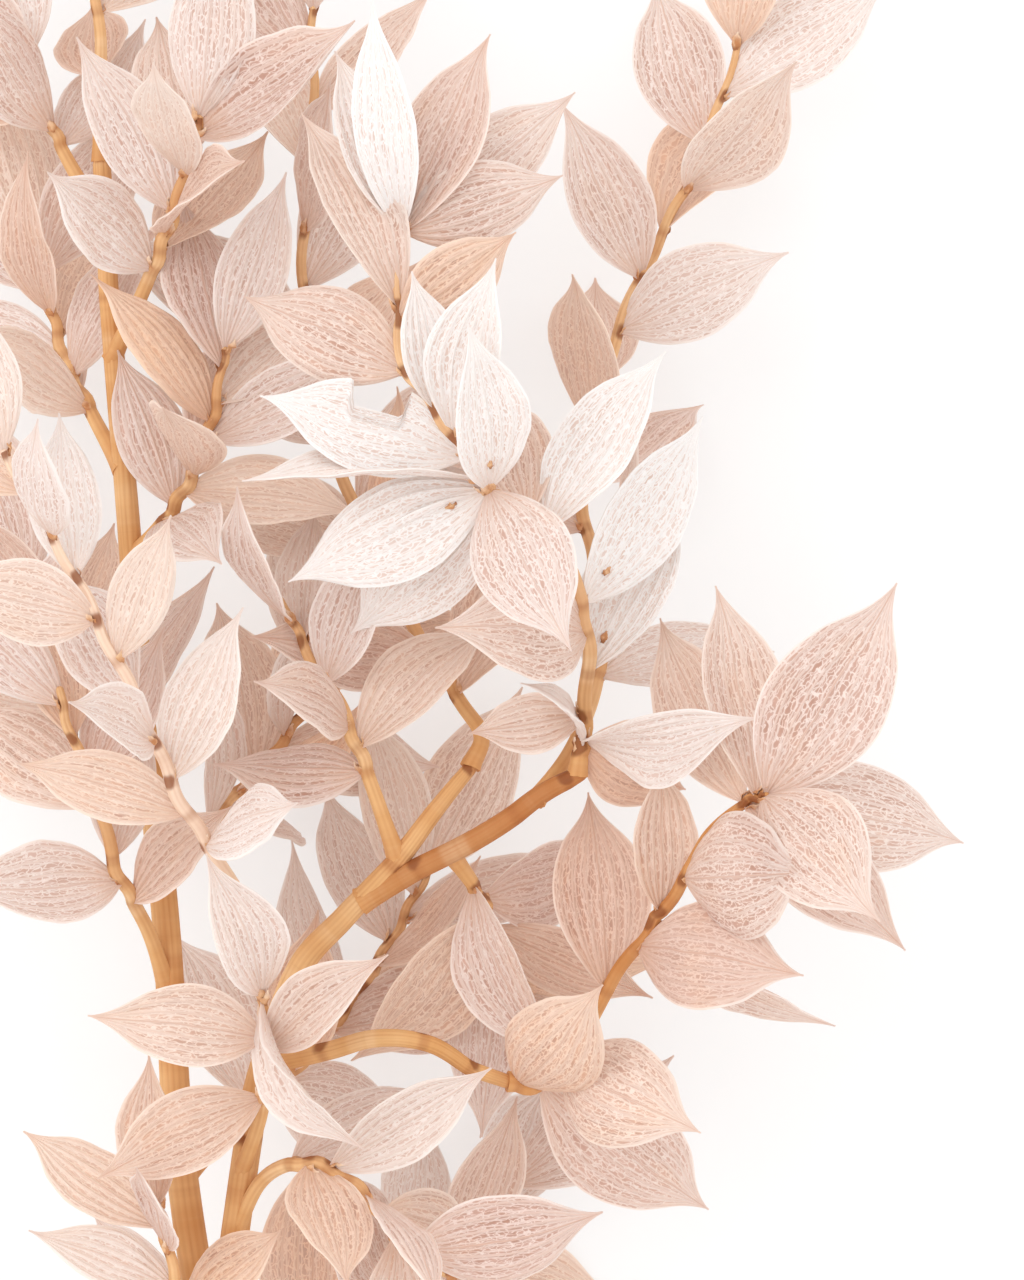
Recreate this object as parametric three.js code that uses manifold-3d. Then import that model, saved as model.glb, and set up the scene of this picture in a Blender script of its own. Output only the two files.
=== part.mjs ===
// A dried, bleached ruscus stem, lying on a table as it was cut.
//
// One woody cane forks into side branches. Leafy twigs grow from the cane and the branches, and
// every twig carries flat, ovate, spine-tipped cladodes (here called leaves), one at each node.
// The cane with its branches is one solid, and each twig with its leaves is one solid of its own.
//
// Millimetres. +Y runs from the cut end to the tip, +X is to the right seen from above, +Z is up.
// The origin is the small flat spot on the underside of the cane, near the cut end, where the
// cane touches the table. The leaves on the underside touch the table too and carry the head.

import * as THREE from "three";
import { mergeVertices } from "three/addons/utils/BufferGeometryUtils.js";
import Module from "manifold-3d";

const wasm = await Module();
wasm.setup();

// ---- driving dimensions -------------------------------------------------------------------

const CANE_RADIUS = [2.9, 1.3]; // at the cut end and at the far end
const FRONT_RADIUS = [2.1, 1.0]; // the front branch, where it leaves the cane and at its end
const RIGHT_FORK_RADIUS = [1.6, 1.15];
const LOW_FORK_RADIUS = [1.35, 1.0];
const TWIG_RADIUS = [1.05, 0.55]; // a leafy twig, at its foot and at its tip
const TWIG_GAP = 0.3; // clearance between a twig's foot and the wood that carries it
const CUT_CENTRE = [0.5, -16, 2.55]; // where the slanting cut crosses the middle of the cane
const CUT_SLANT = 32; // degrees from square
const LEAF_LENGTH = 31; // a full-grown leaf
const LEAF_SHARE = 0.47; // a leaf's width over its length
const LEAF_THICKNESS = 0.64;
const GOLDEN_ANGLE = 137.5; // degrees round the twig from one leaf to the next
const SPREAD = [62, 40]; // degrees between a twig and a leaf, at the twig's foot and at its tip
const LAST_SPREAD = 10; // the leaf at the very tip goes nearly straight on
const FACING_UP = 0.8; // how strongly a leaf faces up
const VARIES = {
  // from leaf to leaf on a twig that grew by rule: least and most
  turn: [-15, 15], // degrees round the twig, off the golden angle
  spread: [-8, 8], // degrees off the usual spread
  forward: [0.2, 0.8], // how far its face tips towards the twig's tip
  sideways: [-0.45, 0.45], // how far its face tips to the side
  length: [0.82, 1.06], // over the usual length
  width: [0.78, 1.12], // over the usual width
  arch: [-0.07, 0.11], // over its length
  cup: [-0.28, 0.52], // over half its width
  twist: [-35, 35], // degrees from foot to tip
};
const TABLE_ZONE = 3; // leaves that would reach below this height are pressed flat

const LIMB_SIDES = 8;
const LIMB_STEP = 13; // length of one straight stretch of the cane or a branch
const TWIG_SIDES = 5;
const TWIG_STEP = 8;

const WOOD_COLOUR = 0xd8a874;
const TWIG_COLOUR = 0xf0ddd5;

// ---- curves and tubes ---------------------------------------------------------------------

// A smooth line through [x, y, z] points.
function line(points) {
  const vectors = points.map((p) => new THREE.Vector3(...p));
  return new THREE.CatmullRomCurve3(vectors, false, "catmullrom", 0.5);
}

// A closed mesh from rings of points: each ring joined to the next, both ends capped.
// The four-cornered faces are cut along one diagonal, and from side `turned` on along the other.
function loft(rings, turned = Infinity) {
  const sides = rings[0].length;
  const positions = rings.flat().flatMap((p) => [p.x, p.y, p.z]);
  const faces = [];
  for (let r = 0; r + 1 < rings.length; r++) {
    for (let s = 0; s < sides; s++) {
      const a = r * sides + s;
      const b = r * sides + ((s + 1) % sides);
      if (s < turned) {
        faces.push(a, b, b + sides, a, b + sides, a + sides);
      } else {
        faces.push(a, b, a + sides, b, b + sides, a + sides);
      }
    }
  }
  const last = (rings.length - 1) * sides;
  for (let s = 1; s + 1 < sides; s++) {
    faces.push(0, s + 1, s);
    faces.push(last, last + s, last + s + 1);
  }
  const geometry = new THREE.BufferGeometry();
  geometry.setAttribute("position", new THREE.Float32BufferAttribute(positions, 3));
  geometry.setIndex(faces);
  return geometry;
}

// A round length of wood along a curve, in straight stretches of about `step`. It tapers little
// at first and more towards its tip.
function tube(curve, [footRadius, tipRadius], sides, step) {
  const steps = Math.round(curve.getLength() / step);
  const rings = [];
  for (let i = 0; i <= steps; i++) {
    const share = i / steps;
    const centre = curve.getPoint(share);
    const along = curve.getTangent(share);
    const across = new THREE.Vector3().crossVectors(along, UP).normalize();
    const over = new THREE.Vector3().crossVectors(across, along);
    const radius = THREE.MathUtils.lerp(footRadius, tipRadius, share * share);
    const ring = [];
    for (let s = 0; s < sides; s++) {
      const turn = (2 * Math.PI * (s + 0.5)) / sides;
      ring.push(
        centre
          .clone()
          .addScaledVector(across, radius * Math.cos(turn))
          .addScaledVector(over, -radius * Math.sin(turn)),
      );
    }
    rings.push(ring);
  }
  return loft(rings);
}

// ---- leaves -------------------------------------------------------------------------------

const UP = new THREE.Vector3(0, 0, 1);
const FINE_ROWS = [0, 0.1, 0.3, 0.56, 0.84]; // shares of a leaf's length, before the tip
const PLAIN_ROWS = [0, 0.13, 0.42, 0.8];
const SECTION = [
  [-1, 1],
  [0, 1],
  [1, 1],
  [1, -1],
  [0, -1],
  [-1, -1],
]; // round a leaf: how far across, and which face
const UNDERSIDE = 3; // the first corner of the section on the underside

// Half the width of a leaf at share t of its length: ovate, with a short drawn-out tip.
function halfWidth(t, width) {
  const body = Math.sin(Math.PI * t ** 0.85);
  const drawn = 1 - 0.55 * THREE.MathUtils.smoothstep(t, 0.7, 1);
  return (width / 2) * body * drawn;
}

// Presses what would go through the table flat onto it: the point of a leaf's middle layer, and
// the normal that its thickness is laid off along.
function pressOnTable(point, normal) {
  if (point.z >= TABLE_ZONE) return;
  const floor = LEAF_THICKNESS / 2;
  const room = TABLE_ZONE - floor;
  const depth = Math.min((TABLE_ZONE - point.z) / TABLE_ZONE, 1);
  normal.lerp(UP.clone().multiplyScalar(Math.sign(normal.z) || 1), depth).normalize();
  point.z = floor + room * Math.exp((point.z - TABLE_ZONE) / room);
}

// One leaf: a thin blade, arched along its length and cupped across it.
// base is its foot on the twig, along its direction, face the way its upper side looks.
function blade({ base, along, face, length, width, arch, cup, twist, rows }) {
  const side = new THREE.Vector3().crossVectors(along, face);
  const at = (t, s, layer) => {
    const turn = THREE.MathUtils.degToRad(twist) * (t - 0.5);
    const across = side
      .clone()
      .multiplyScalar(Math.cos(turn))
      .addScaledVector(face, Math.sin(turn));
    const normal = face
      .clone()
      .multiplyScalar(Math.cos(turn))
      .addScaledVector(side, -Math.sin(turn));
    const reach = halfWidth(t, width);
    const point = base
      .clone()
      .addScaledVector(along, length * t)
      .addScaledVector(face, length * arch * 4 * t * (1 - t))
      .addScaledVector(across, reach * s)
      .addScaledVector(normal, reach * cup * s * s);
    pressOnTable(point, normal);
    return point.addScaledVector(normal, (layer * LEAF_THICKNESS) / 2);
  };
  const rings = rows.map((t) => SECTION.map(([s, layer]) => at(t, s, layer)));
  rings.push(SECTION.map(() => at(1, 0, 0)));
  return solid(loft(rings, UNDERSIDE));
}

// A leaf's direction from its compass bearing (degrees from +X, turning to +Y) and its lift
// above the table plane, and its face: straight up, then rolled about its own length.
function aim(bearing, lift, roll) {
  const turn = THREE.MathUtils.degToRad(bearing);
  const rise = THREE.MathUtils.degToRad(lift);
  const along = new THREE.Vector3(
    Math.cos(turn) * Math.cos(rise),
    Math.sin(turn) * Math.cos(rise),
    Math.sin(rise),
  );
  const face = UP.clone().addScaledVector(along, -along.z).normalize();
  face.applyAxisAngle(along, THREE.MathUtils.degToRad(roll));
  return { along, face };
}

// Numbers from 0 to 1 that are the same on every run.
function draws(seed) {
  let state = seed;
  return () => {
    state = (Math.imul(state, 1664525) + 1013904223) >>> 0;
    return state / 2 ** 32;
  };
}

// The leaves of a twig that was placed leaf by leaf. Each row of `leaves` is
// [node on the twig, bearing, lift, roll, length, width, arch, cup, twist].
function placedLeaves({ path, leaves }) {
  const curve = line(path);
  return leaves.map(([node, bearing, lift, roll, length, width, arch, cup, twist]) => ({
    base: curve.getPoint(node / (path.length - 1)),
    ...aim(bearing, lift, roll),
    length,
    width,
    arch,
    cup,
    twist,
    rows: FINE_ROWS,
  }));
}

// The leaves of a twig that grew by rule: a spiral at the golden angle, spreading less towards
// the tip, each leaf a little different. `lost` lists the leaves that have dropped off.
function grownLeaves({ path, grown }) {
  const { count, first, start, size, seed, lost } = grown;
  const curve = line(path);
  const draw = draws(seed);
  const vary = (name) => THREE.MathUtils.lerp(...VARIES[name], draw());
  const leaves = [];
  for (let i = 0; i < count; i++) {
    const share = i / (count - 1);
    const onTwig = first + (1 - first) * share;
    const tangent = curve.getTangent(onTwig);
    const across = new THREE.Vector3().crossVectors(tangent, UP).normalize();
    const over = new THREE.Vector3().crossVectors(across, tangent);
    const round = THREE.MathUtils.degToRad(start + i * GOLDEN_ANGLE + vary("turn"));
    const usual = THREE.MathUtils.lerp(...SPREAD, share);
    const last = i === count - 1;
    const spread = THREE.MathUtils.degToRad(last ? LAST_SPREAD : usual + vary("spread"));
    const along = tangent
      .clone()
      .multiplyScalar(Math.cos(spread))
      .addScaledVector(across, Math.sin(spread) * Math.cos(round))
      .addScaledVector(over, Math.sin(spread) * Math.sin(round));
    const face = UP.clone()
      .multiplyScalar(FACING_UP)
      .addScaledVector(tangent, vary("forward"))
      .addScaledVector(across, vary("sideways"));
    face.addScaledVector(along, -face.dot(along)).normalize();
    const length = LEAF_LENGTH * size * vary("length");
    const leaf = {
      base: curve.getPoint(onTwig),
      along,
      face,
      length,
      width: length * LEAF_SHARE * vary("width"),
      arch: vary("arch"),
      cup: vary("cup"),
      twist: vary("twist"),
      rows: PLAIN_ROWS,
    };
    if (!lost.includes(i)) leaves.push(leaf);
  }
  return leaves;
}

// ---- solids -------------------------------------------------------------------------------

// A closed three.js geometry as a manifold-3d solid.
function solid(geometry) {
  const bare = geometry.index ? geometry.toNonIndexed() : geometry.clone();
  for (const name of Object.keys(bare.attributes)) {
    if (name !== "position") bare.deleteAttribute(name);
  }
  const merged = mergeVertices(bare, 1e-4);
  return new wasm.Manifold(
    new wasm.Mesh({
      numProp: 3,
      vertProperties: merged.attributes.position.array,
      triVerts: new Uint32Array(merged.index.array),
    }),
  );
}

// The largest body of a solid: sealed hollows are filled and loose scraps are dropped.
function oneBody(whole) {
  return whole.decompose().reduce((a, b) => (b.volume() > a.volume() ? b : a));
}

// A named mesh of a solid.
function node(name, whole, colour) {
  const made = oneBody(whole).getMesh();
  const positions = [];
  for (let i = 0; i < made.numVert; i++) {
    positions.push(...made.vertProperties.subarray(i * made.numProp, i * made.numProp + 3));
  }
  const geometry = new THREE.BufferGeometry();
  geometry.setAttribute("position", new THREE.Float32BufferAttribute(positions, 3));
  geometry.setIndex([...made.triVerts]);
  geometry.computeVertexNormals();
  const material = new THREE.MeshStandardMaterial({
    color: colour,
    roughness: 0.75,
    metalness: 0,
    flatShading: true,
  });
  const mesh = new THREE.Mesh(geometry, material);
  mesh.name = name;
  return mesh;
}

// ---- the cane and its branches ------------------------------------------------------------

const CANE_PATH = [
  [0.6, -18, 2.3],
  [0, 0, 2.3],
  [-0.6, 12, 2.35],
  [-1.4, 26, 4.1],
  [-7.5, 105, 15],
  [-15.5, 180, 25],
  [-20.5, 220, 29],
  [-23.8, 247, 31],
  [-26.1, 276, 32],
  [-29.4, 313, 33],
  [-33.3, 356, 34],
  [-35.4, 391, 34],
];
const FRONT_BRANCH_PATH = [
  [-18.6, 205, 27.5],
  [-17.2, 226, 35],
  [-14.7, 244, 39],
  [-10.9, 261, 42],
  [-6.5, 274, 44],
  [0.2, 281.6, 45],
  [8.5, 290, 46],
  [13.7, 296.5, 45],
  [18.5, 302.9, 43],
];
const RIGHT_FORK_PATH = [
  [2.5, 283.5, 45],
  [14.2, 290.2, 47],
  [24.3, 295.8, 48],
  [31.5, 300.5, 48],
  [34.4, 302.2, 48],
];
const LOW_FORK_PATH = [
  [-10.9, 260, 42],
  [-2.9, 261.8, 47],
  [4.4, 264.2, 49],
  [11.3, 263.5, 49],
  [17.8, 259.8, 47],
  [23.6, 257.6, 46],
];

// The cane, the front branch and its two forks as one solid, `extra` thicker all round.
function wood(extra = 0) {
  const limb = (path, radii) =>
    solid(tube(line(path), radii.map((radius) => radius + extra), LIMB_SIDES, LIMB_STEP));
  return wasm.Manifold.union([
    limb(CANE_PATH, CANE_RADIUS),
    limb(FRONT_BRANCH_PATH, FRONT_RADIUS),
    limb(RIGHT_FORK_PATH, RIGHT_FORK_RADIUS),
    limb(LOW_FORK_PATH, LOW_FORK_RADIUS),
  ]);
}

// The cane as cut: a slanting cut at the foot, and the flat spot that rests on the table.
function cane() {
  const table = new THREE.BoxGeometry(40, 80, 10).translate(0, 0, -5);
  const cut = new THREE.BoxGeometry(20, 20, 20)
    .translate(0, -10, 0)
    .rotateX(THREE.MathUtils.degToRad(CUT_SLANT))
    .translate(...CUT_CENTRE);
  return wood().subtract(solid(table)).subtract(solid(cut));
}

// ---- the leafy twigs ----------------------------------------------------------------------

const TWIGS = [
  {
    name: "top_spray", // the long spray at the middle, its leaves in a rosette halfway
    path: [
      [34, 301.9, 48],
      [35, 309.9, 49],
      [35.5, 316.8, 51],
      [34.6, 326.5, 56],
      [29.3, 337.1, 62],
      [21.3, 342.8, 67],
      [16.5, 350.3, 68],
      [12.1, 356.3, 68],
      [9.3, 360.1, 67],
      [8.3, 369.9, 65],
      [8.9, 379.7, 62],
    ],
    leaves: [
      [0.65, 2, 40, 30, 32, 12, 0.06, 0.5, 75],
      [2.6, 178, 42, 10, 28, 16, 0.1, 0.2, 0],
      [2, 60, -20, -30, 31, 14, 0.05, 0.2, 10],
      [3, 58, -10, 35, 33, 14, 0.03, 0.2, 10],
      [4, 55, -5, -30, 31, 13, 0.04, 0.3, 0],
      [4.3, 104, -46, 0, 25, 12, 0.05, 0.2, 0],
      [5, 297, 32, 5, 31, 15, 0.1, -0.2, 0],
      [4.9, 222, -20, -15, 31, 15, 0.08, 0.1, 0],
      [5, 205, -8, 10, 32, 14.5, 0.06, -0.15, 0],
      [5.2, 179, 5, 70, 34, 12, 0.04, 0.3, 20],
      [5.6, 165, -5, 15, 31, 14, 0.04, 0.2, 0],
      [5, 97, 36, 25, 29, 12, 0.08, 0.3, 0],
      [6, 79, 30, -20, 30, 11.5, 0.05, 0.3, 0],
      [6.6, 99, 10, 20, 20, 9, 0.05, 0.3, 0],
      [7.9, 152, -20, 0, 28, 13.5, 0.06, -0.2, 0],
      [8.9, 117, -10, 30, 32, 12, 0.05, 0.5, 20],
      [8.7, 36, 2, 10, 21, 11, 0.08, -0.2, 0],
      [10, 22, -6, 10, 24.5, 12.5, 0.08, -0.2, 0],
      [10, 40, -20, 15, 34, 13, 0.05, -0.1, 0],
      [10, 65, -8, -20, 32, 13, 0.04, 0.2, 0],
      [10, 110, -12, 25, 29, 12, 0.04, 0.3, 0],
      [10, 96, 14, -20, 34, 9.5, 0.04, 0.3, 10],
      [0.55, 338, -22, 5, 18, 13, 0.08, -0.2, 0],
      [0.45, 132, 35, 75, 16, 6, 0.16, 0.3, 40],
      [1.1, 192, -4, 10, 17, 9, 0.08, 0.2, 0],
    ],
  },
  {
    name: "right_spray", // the spray at the right, opening into a fan of broad leaves
    path: [
      [23.9, 257.5, 45.9],
      [28.6, 257.4, 45],
      [33.6, 263.2, 46],
      [37.7, 269.8, 47],
      [44.8, 280.3, 50],
      [50.2, 288.6, 54],
      [53.5, 293.9, 58],
      [57.9, 298.1, 62],
      [60.8, 299.3, 64],
    ],
    leaves: [
      [0.35, 47, 50, 5, 28, 15, 0.12, -0.3, 0],
      [1, 322, -20, 10, 34, 17, 0.05, 0.15, 0],
      [1.6, 332, 40, 0, 28, 16, 0.12, -0.3, 0],
      [8, 60, 12, 10, 36, 18, 0.05, 0.15, 0],
      [8, 345, -22, -15, 32, 16, 0.08, -0.1, 0],
      [7.8, 316, 42, 0, 32, 16, 0.1, -0.2, 0],
      [4.8, 5, 52, 0, 31, 18.5, 0.12, -0.35, 0],
      [7, 316, 4, -20, 31, 14, 0.05, 0.1, 0],
      [3.7, 353, 40, -10, 30, 16, 0.1, -0.2, 0],
      [4, 329, -22, 65, 33, 13, 0.05, 0.2, 10],
      [7.5, 102, -20, 30, 33, 14, 0.05, 0.3, 0],
      [7, 113, -32, -25, 34, 13, 0.05, 0.3, 0],
      [4.2, 94, 3, 30, 22, 11, 0.05, 0.3, 0],
      [3.1, 95, -20, 10, 31, 14.5, 0.06, 0.2, 0],
    ],
  },
  {
    name: "middle_spray", // runs up behind the top spray
    path: [
      [18.5, 302.9, 43],
      [20.1, 307.6, 42],
      [16.4, 313.4, 40],
      [7.9, 328, 35],
      [2.3, 339.7, 32],
      [-2.7, 353.7, 30],
      [-6, 372.8, 29],
      [-4.9, 394.8, 29],
      [-4.6, 413.9, 29],
    ],
    grown: { count: 16, first: 0.25, start: 20, size: 1.02, seed: 11, lost: [6] },
  },
  {
    name: "left_front_spray", // pale, nearest the top at the left
    path: [
      [-10.6, 278, 43.5],
      [-15.8, 286.7, 55],
      [-22.7, 298.6, 63],
      [-29.6, 314.3, 68],
      [-37.8, 331.1, 71],
      [-47.3, 348, 73],
    ],
    grown: { count: 11, first: 0.3, start: 60, size: 0.86, seed: 5, lost: [] },
  },
  {
    name: "right_back_spray", // low behind the top spray, out to the upper right
    path: [
      [28, 298.2, 48],
      [33.4, 306, 42],
      [37, 316, 35],
      [37.2, 328, 28],
      [35.2, 342.1, 22],
      [37.6, 359.2, 19],
      [44.7, 377.4, 18],
      [52.4, 392.5, 18],
      [58, 409.5, 18],
    ],
    grown: { count: 15, first: 0.25, start: 0, size: 1, seed: 3, lost: [1] },
  },
  {
    name: "centre_spray",
    path: [
      [7.9, 290, 46],
      [4.3, 300.5, 49],
      [0.6, 309.9, 49],
      [-4.3, 318.6, 48],
      [-9, 327.2, 47],
    ],
    grown: { count: 9, first: 0.3, start: 200, size: 0.9, seed: 7, lost: [3, 5, 8] },
  },
  {
    name: "inner_spray", // under the right fork, behind the right spray
    path: [
      [15.6, 290.8, 47],
      [20, 283.9, 40],
      [22.8, 275.3, 34],
      [27, 268, 30],
    ],
    grown: { count: 10, first: 0.25, start: 90, size: 0.95, seed: 8, lost: [] },
  },
  {
    name: "fork_spray", // stands up between the cane and the low fork
    path: [
      [-15, 243.5, 39],
      [-11.6, 253.4, 47],
      [-10.9, 262.4, 52],
      [-11.4, 270.4, 55],
    ],
    leaves: [
      [3, 105, 38, 20, 27, 11, 0.06, 0.4, 20],
      [2.9, 303, 8, 55, 26, 10, 0.12, 0.7, 60],
      [2.2, 170, 12, 5, 26, 12, 0.08, 0.3, 20],
      [2, 40, 25, -20, 25, 10, 0.06, 0.4, 30],
      [1.2, 205, -5, 10, 27, 12, 0.06, 0.3, 0],
    ],
  },
  {
    name: "bottom_spray", // leans out over the cut end's side
    path: [
      [-16.7, 232.5, 36.5],
      [-11.7, 243, 42],
      [-4.7, 245.7, 46],
      [2.6, 241.9, 47],
      [8.4, 234.6, 46],
      [15.6, 229.4, 44],
    ],
    grown: { count: 11, first: 0.25, start: 130, size: 0.95, seed: 10, lost: [0] },
  },
  {
    name: "bottom_left_spray",
    path: [
      [-19.6, 213, 28.4],
      [-22.6, 219.6, 34],
      [-24.4, 226, 38],
      [-25.4, 232.4, 40],
      [-27, 239, 41],
    ],
    grown: { count: 7, first: 0.3, start: 250, size: 0.82, seed: 12, lost: [3] },
  },
  {
    name: "left_low_spray",
    path: [
      [-26, 270.9, 32],
      [-28.5, 279.2, 38],
      [-32.6, 287.8, 44],
      [-35.6, 298.3, 48],
      [-38.9, 307.7, 50],
      [-40.6, 314.2, 51],
    ],
    grown: { count: 11, first: 0.3, start: 30, size: 0.95, seed: 13, lost: [3, 6, 8, 10] },
  },
  {
    name: "low_centre_spray", // from the cane to the right, under the front branch's twigs
    path: [
      [-27.3, 287, 32],
      [-21.5, 293, 28],
      [-14.5, 300.5, 24],
      [-7, 309.5, 21],
      [-1, 319, 19],
    ],
    grown: { count: 10, first: 0.3, start: 150, size: 1, seed: 22, lost: [9] },
  },
  {
    name: "left_back_spray_1", // on the underside at the left, down on the table
    path: [
      [-28.2, 299.5, 32.5],
      [-33.6, 306, 28],
      [-39.2, 312.6, 24],
      [-43.7, 319.2, 21],
      [-47.5, 327.3, 19],
    ],
    grown: { count: 9, first: 0.3, start: 0, size: 1, seed: 14, lost: [] },
  },
  {
    name: "left_inner_spray_1",
    path: [
      [-31.3, 333.1, 33.5],
      [-26, 338.9, 38],
      [-21.5, 346.1, 42],
      [-18.5, 354.8, 44],
      [-17, 363.4, 45],
    ],
    grown: { count: 11, first: 0.25, start: 70, size: 0.92, seed: 15, lost: [8] },
  },
  {
    name: "left_back_spray_2",
    path: [
      [-32.4, 346.3, 34],
      [-36.6, 353.7, 29],
      [-40.4, 361.1, 25],
      [-43.5, 370, 22],
      [-45, 378.9, 20],
    ],
    grown: { count: 9, first: 0.3, start: 120, size: 1, seed: 16, lost: [] },
  },
  {
    name: "left_inner_spray_2",
    path: [
      [-33.9, 362.4, 34],
      [-29.6, 371, 39],
      [-25.9, 379.6, 43],
      [-22.9, 388.2, 45],
      [-20.7, 396.9, 46],
    ],
    grown: { count: 10, first: 0.3, start: 10, size: 0.95, seed: 17, lost: [0, 5] },
  },
  {
    name: "left_back_spray_3",
    path: [
      [-34.8, 382.8, 34],
      [-39.6, 390.2, 33],
      [-43.3, 397.6, 32],
      [-46.6, 406.4, 31],
    ],
    grown: { count: 8, first: 0.3, start: 45, size: 0.95, seed: 18, lost: [0, 1, 5] },
  },
  {
    name: "cane_tip_spray",
    path: [
      [-35.4, 391.4, 34],
      [-35.7, 401.8, 34],
      [-36, 412.1, 33],
      [-36.3, 423.9, 32],
    ],
    grown: { count: 9, first: 0.2, start: 0, size: 0.95, seed: 19, lost: [0, 1, 3, 4] },
  },
  {
    name: "under_spray_1", // on the table below the low fork
    path: [
      [-23, 243, 30.5],
      [-14, 252, 24],
      [-4, 262, 18],
      [5, 274, 14],
      [12, 287, 12],
    ],
    grown: { count: 13, first: 0.2, start: 60, size: 1, seed: 20, lost: [0] },
  },
  {
    name: "under_spray_2",
    path: [
      [-18.2, 203, 27],
      [-9, 212, 19],
      [2, 221, 13],
      [14, 229, 10],
      [24, 240, 9],
    ],
    grown: { count: 9, first: 0.25, start: 10, size: 1, seed: 21, lost: [] },
  },
];

const sleeve = wood(TWIG_GAP);

// A leafy twig: its own wood, cut to sit against the cane, with every leaf sunk into it.
function twig(spec) {
  const leaves = spec.leaves ? placedLeaves(spec) : grownLeaves(spec);
  const curve = line(spec.path);
  const stalk = solid(tube(curve, TWIG_RADIUS, TWIG_SIDES, TWIG_STEP));
  const foot = oneBody(stalk.subtract(sleeve));
  return wasm.Manifold.union([foot, ...leaves.map(blade)]);
}

// ---- the whole stem -----------------------------------------------------------------------

const stem = new THREE.Group();
stem.name = "ruscus_stem";
stem.add(node("cane", cane(), WOOD_COLOUR));
for (const spec of TWIGS) {
  stem.add(node(spec.name, twig(spec), TWIG_COLOUR));
}

export default stem;
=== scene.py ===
"""A dried, bleached ruscus stem lying on a pale table: its finish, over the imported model.

Metres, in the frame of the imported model: +Y runs from the cut end to the leafy tip, +Z is up.
A flat leaf-like shoot of ruscus is a cladode. Here it is called a leaf.
"""

import math

import bmesh
import bpy
from mathutils import Matrix, Vector


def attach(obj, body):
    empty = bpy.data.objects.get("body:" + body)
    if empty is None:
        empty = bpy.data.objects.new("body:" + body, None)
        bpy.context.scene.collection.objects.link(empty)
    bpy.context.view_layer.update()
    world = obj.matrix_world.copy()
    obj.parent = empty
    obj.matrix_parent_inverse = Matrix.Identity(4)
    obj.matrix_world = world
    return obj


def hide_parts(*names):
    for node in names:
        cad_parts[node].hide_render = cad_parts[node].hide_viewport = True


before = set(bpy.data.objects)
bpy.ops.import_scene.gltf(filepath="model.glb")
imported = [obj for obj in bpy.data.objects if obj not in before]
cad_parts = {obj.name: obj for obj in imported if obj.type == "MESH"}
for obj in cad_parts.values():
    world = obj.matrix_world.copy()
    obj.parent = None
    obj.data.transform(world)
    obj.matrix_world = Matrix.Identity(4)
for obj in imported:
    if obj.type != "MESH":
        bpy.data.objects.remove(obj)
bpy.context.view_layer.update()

# ---- the view ------------------------------------------------------------------------------
# A person bends over the table and looks straight down on the leafy head, so that the stem
# points up in the picture. The lens is long, so the leaves keep their proportions.

MM = 0.001
VIEW_CENTRE = Vector((24.57, 321.43, 62)) * MM  # on the level of the upper leaves
VIEW_DISTANCE = 1.2
VIEW_HEIGHT = 182.86 * MM  # the stretch of the stem that fills the picture

lens = bpy.data.cameras.new("overhead_view")
lens.lens = lens.sensor_width * VIEW_DISTANCE / VIEW_HEIGHT
viewer = bpy.data.objects.new("overhead_view", lens)
viewer.location = VIEW_CENTRE + Vector((0, 0, VIEW_DISTANCE))
bpy.context.collection.objects.link(viewer)
bpy.context.scene.camera = viewer

# ---- the cane and its branches -------------------------------------------------------------
# The woody part of the stem: a golden cane with a slanting cut, a branch towards the front and
# its two forks. Bleached bark, ridged lengthwise, with a ring and a raised scar where a shoot stood.

CANE_PATH = [
    (0.6, -18, 2.3),
    (0, 0, 2.3),
    (-0.6, 12, 2.35),
    (-1.4, 26, 4.1),
    (-7.5, 105, 15),
    (-15.5, 180, 25),
    (-20.5, 220, 29),
    (-23.8, 247, 31),
    (-26.1, 276, 32),
    (-29.4, 313, 33),
    (-33.3, 356, 34),
    (-35.4, 391, 34),
]
FRONT_BRANCH_PATH = [
    (-18.6, 205, 27.5),
    (-17.2, 226, 35),
    (-14.7, 244, 39),
    (-10.9, 261, 42),
    (-6.5, 274, 44),
    (0.2, 281.6, 45),
    (8.5, 290, 46),
    (13.7, 296.5, 45),
    (18.5, 302.9, 43),
]
RIGHT_FORK_PATH = [
    (2.5, 283.5, 45),
    (14.2, 290.2, 47),
    (24.3, 295.8, 48),
    (31.5, 300.5, 48),
    (34.4, 302.2, 48),
]
LOW_FORK_PATH = [
    (-10.9, 260, 42),
    (-2.9, 261.8, 47),
    (4.4, 264.2, 49),
    (11.3, 263.5, 49),
    (17.8, 259.8, 47),
    (23.6, 257.6, 46),
]
CANE_RADIUS = (2.9, 1.3)
FRONT_RADIUS = (2.1, 1.0)
RIGHT_FORK_RADIUS = (1.6, 1.15)
LOW_FORK_RADIUS = (1.35, 1.0)
CUT_CENTRE = Vector((0.5, -16, 2.55)) * MM
CUT_SLANT = math.radians(32)
CANE_RINGS = (12, 34, 12)  # millimetres to the first and from one to the next, and how many
FRONT_RINGS = (20, 23, 5)
RIGHT_FORK_RINGS = (10, 14, 3)
LOW_FORK_RINGS = (10, 13, 3)
RING_WIDTH = 1.1
ZIGZAG = 0.35  # how far a limb stands off its path between two rings
FLARE_LENGTH = 3.2  # how far up a limb the flare of its foot reaches
PALE_LENGTH = 7  # how far up it takes on its own paleness
UP = Vector((0, 0, 1))


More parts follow.
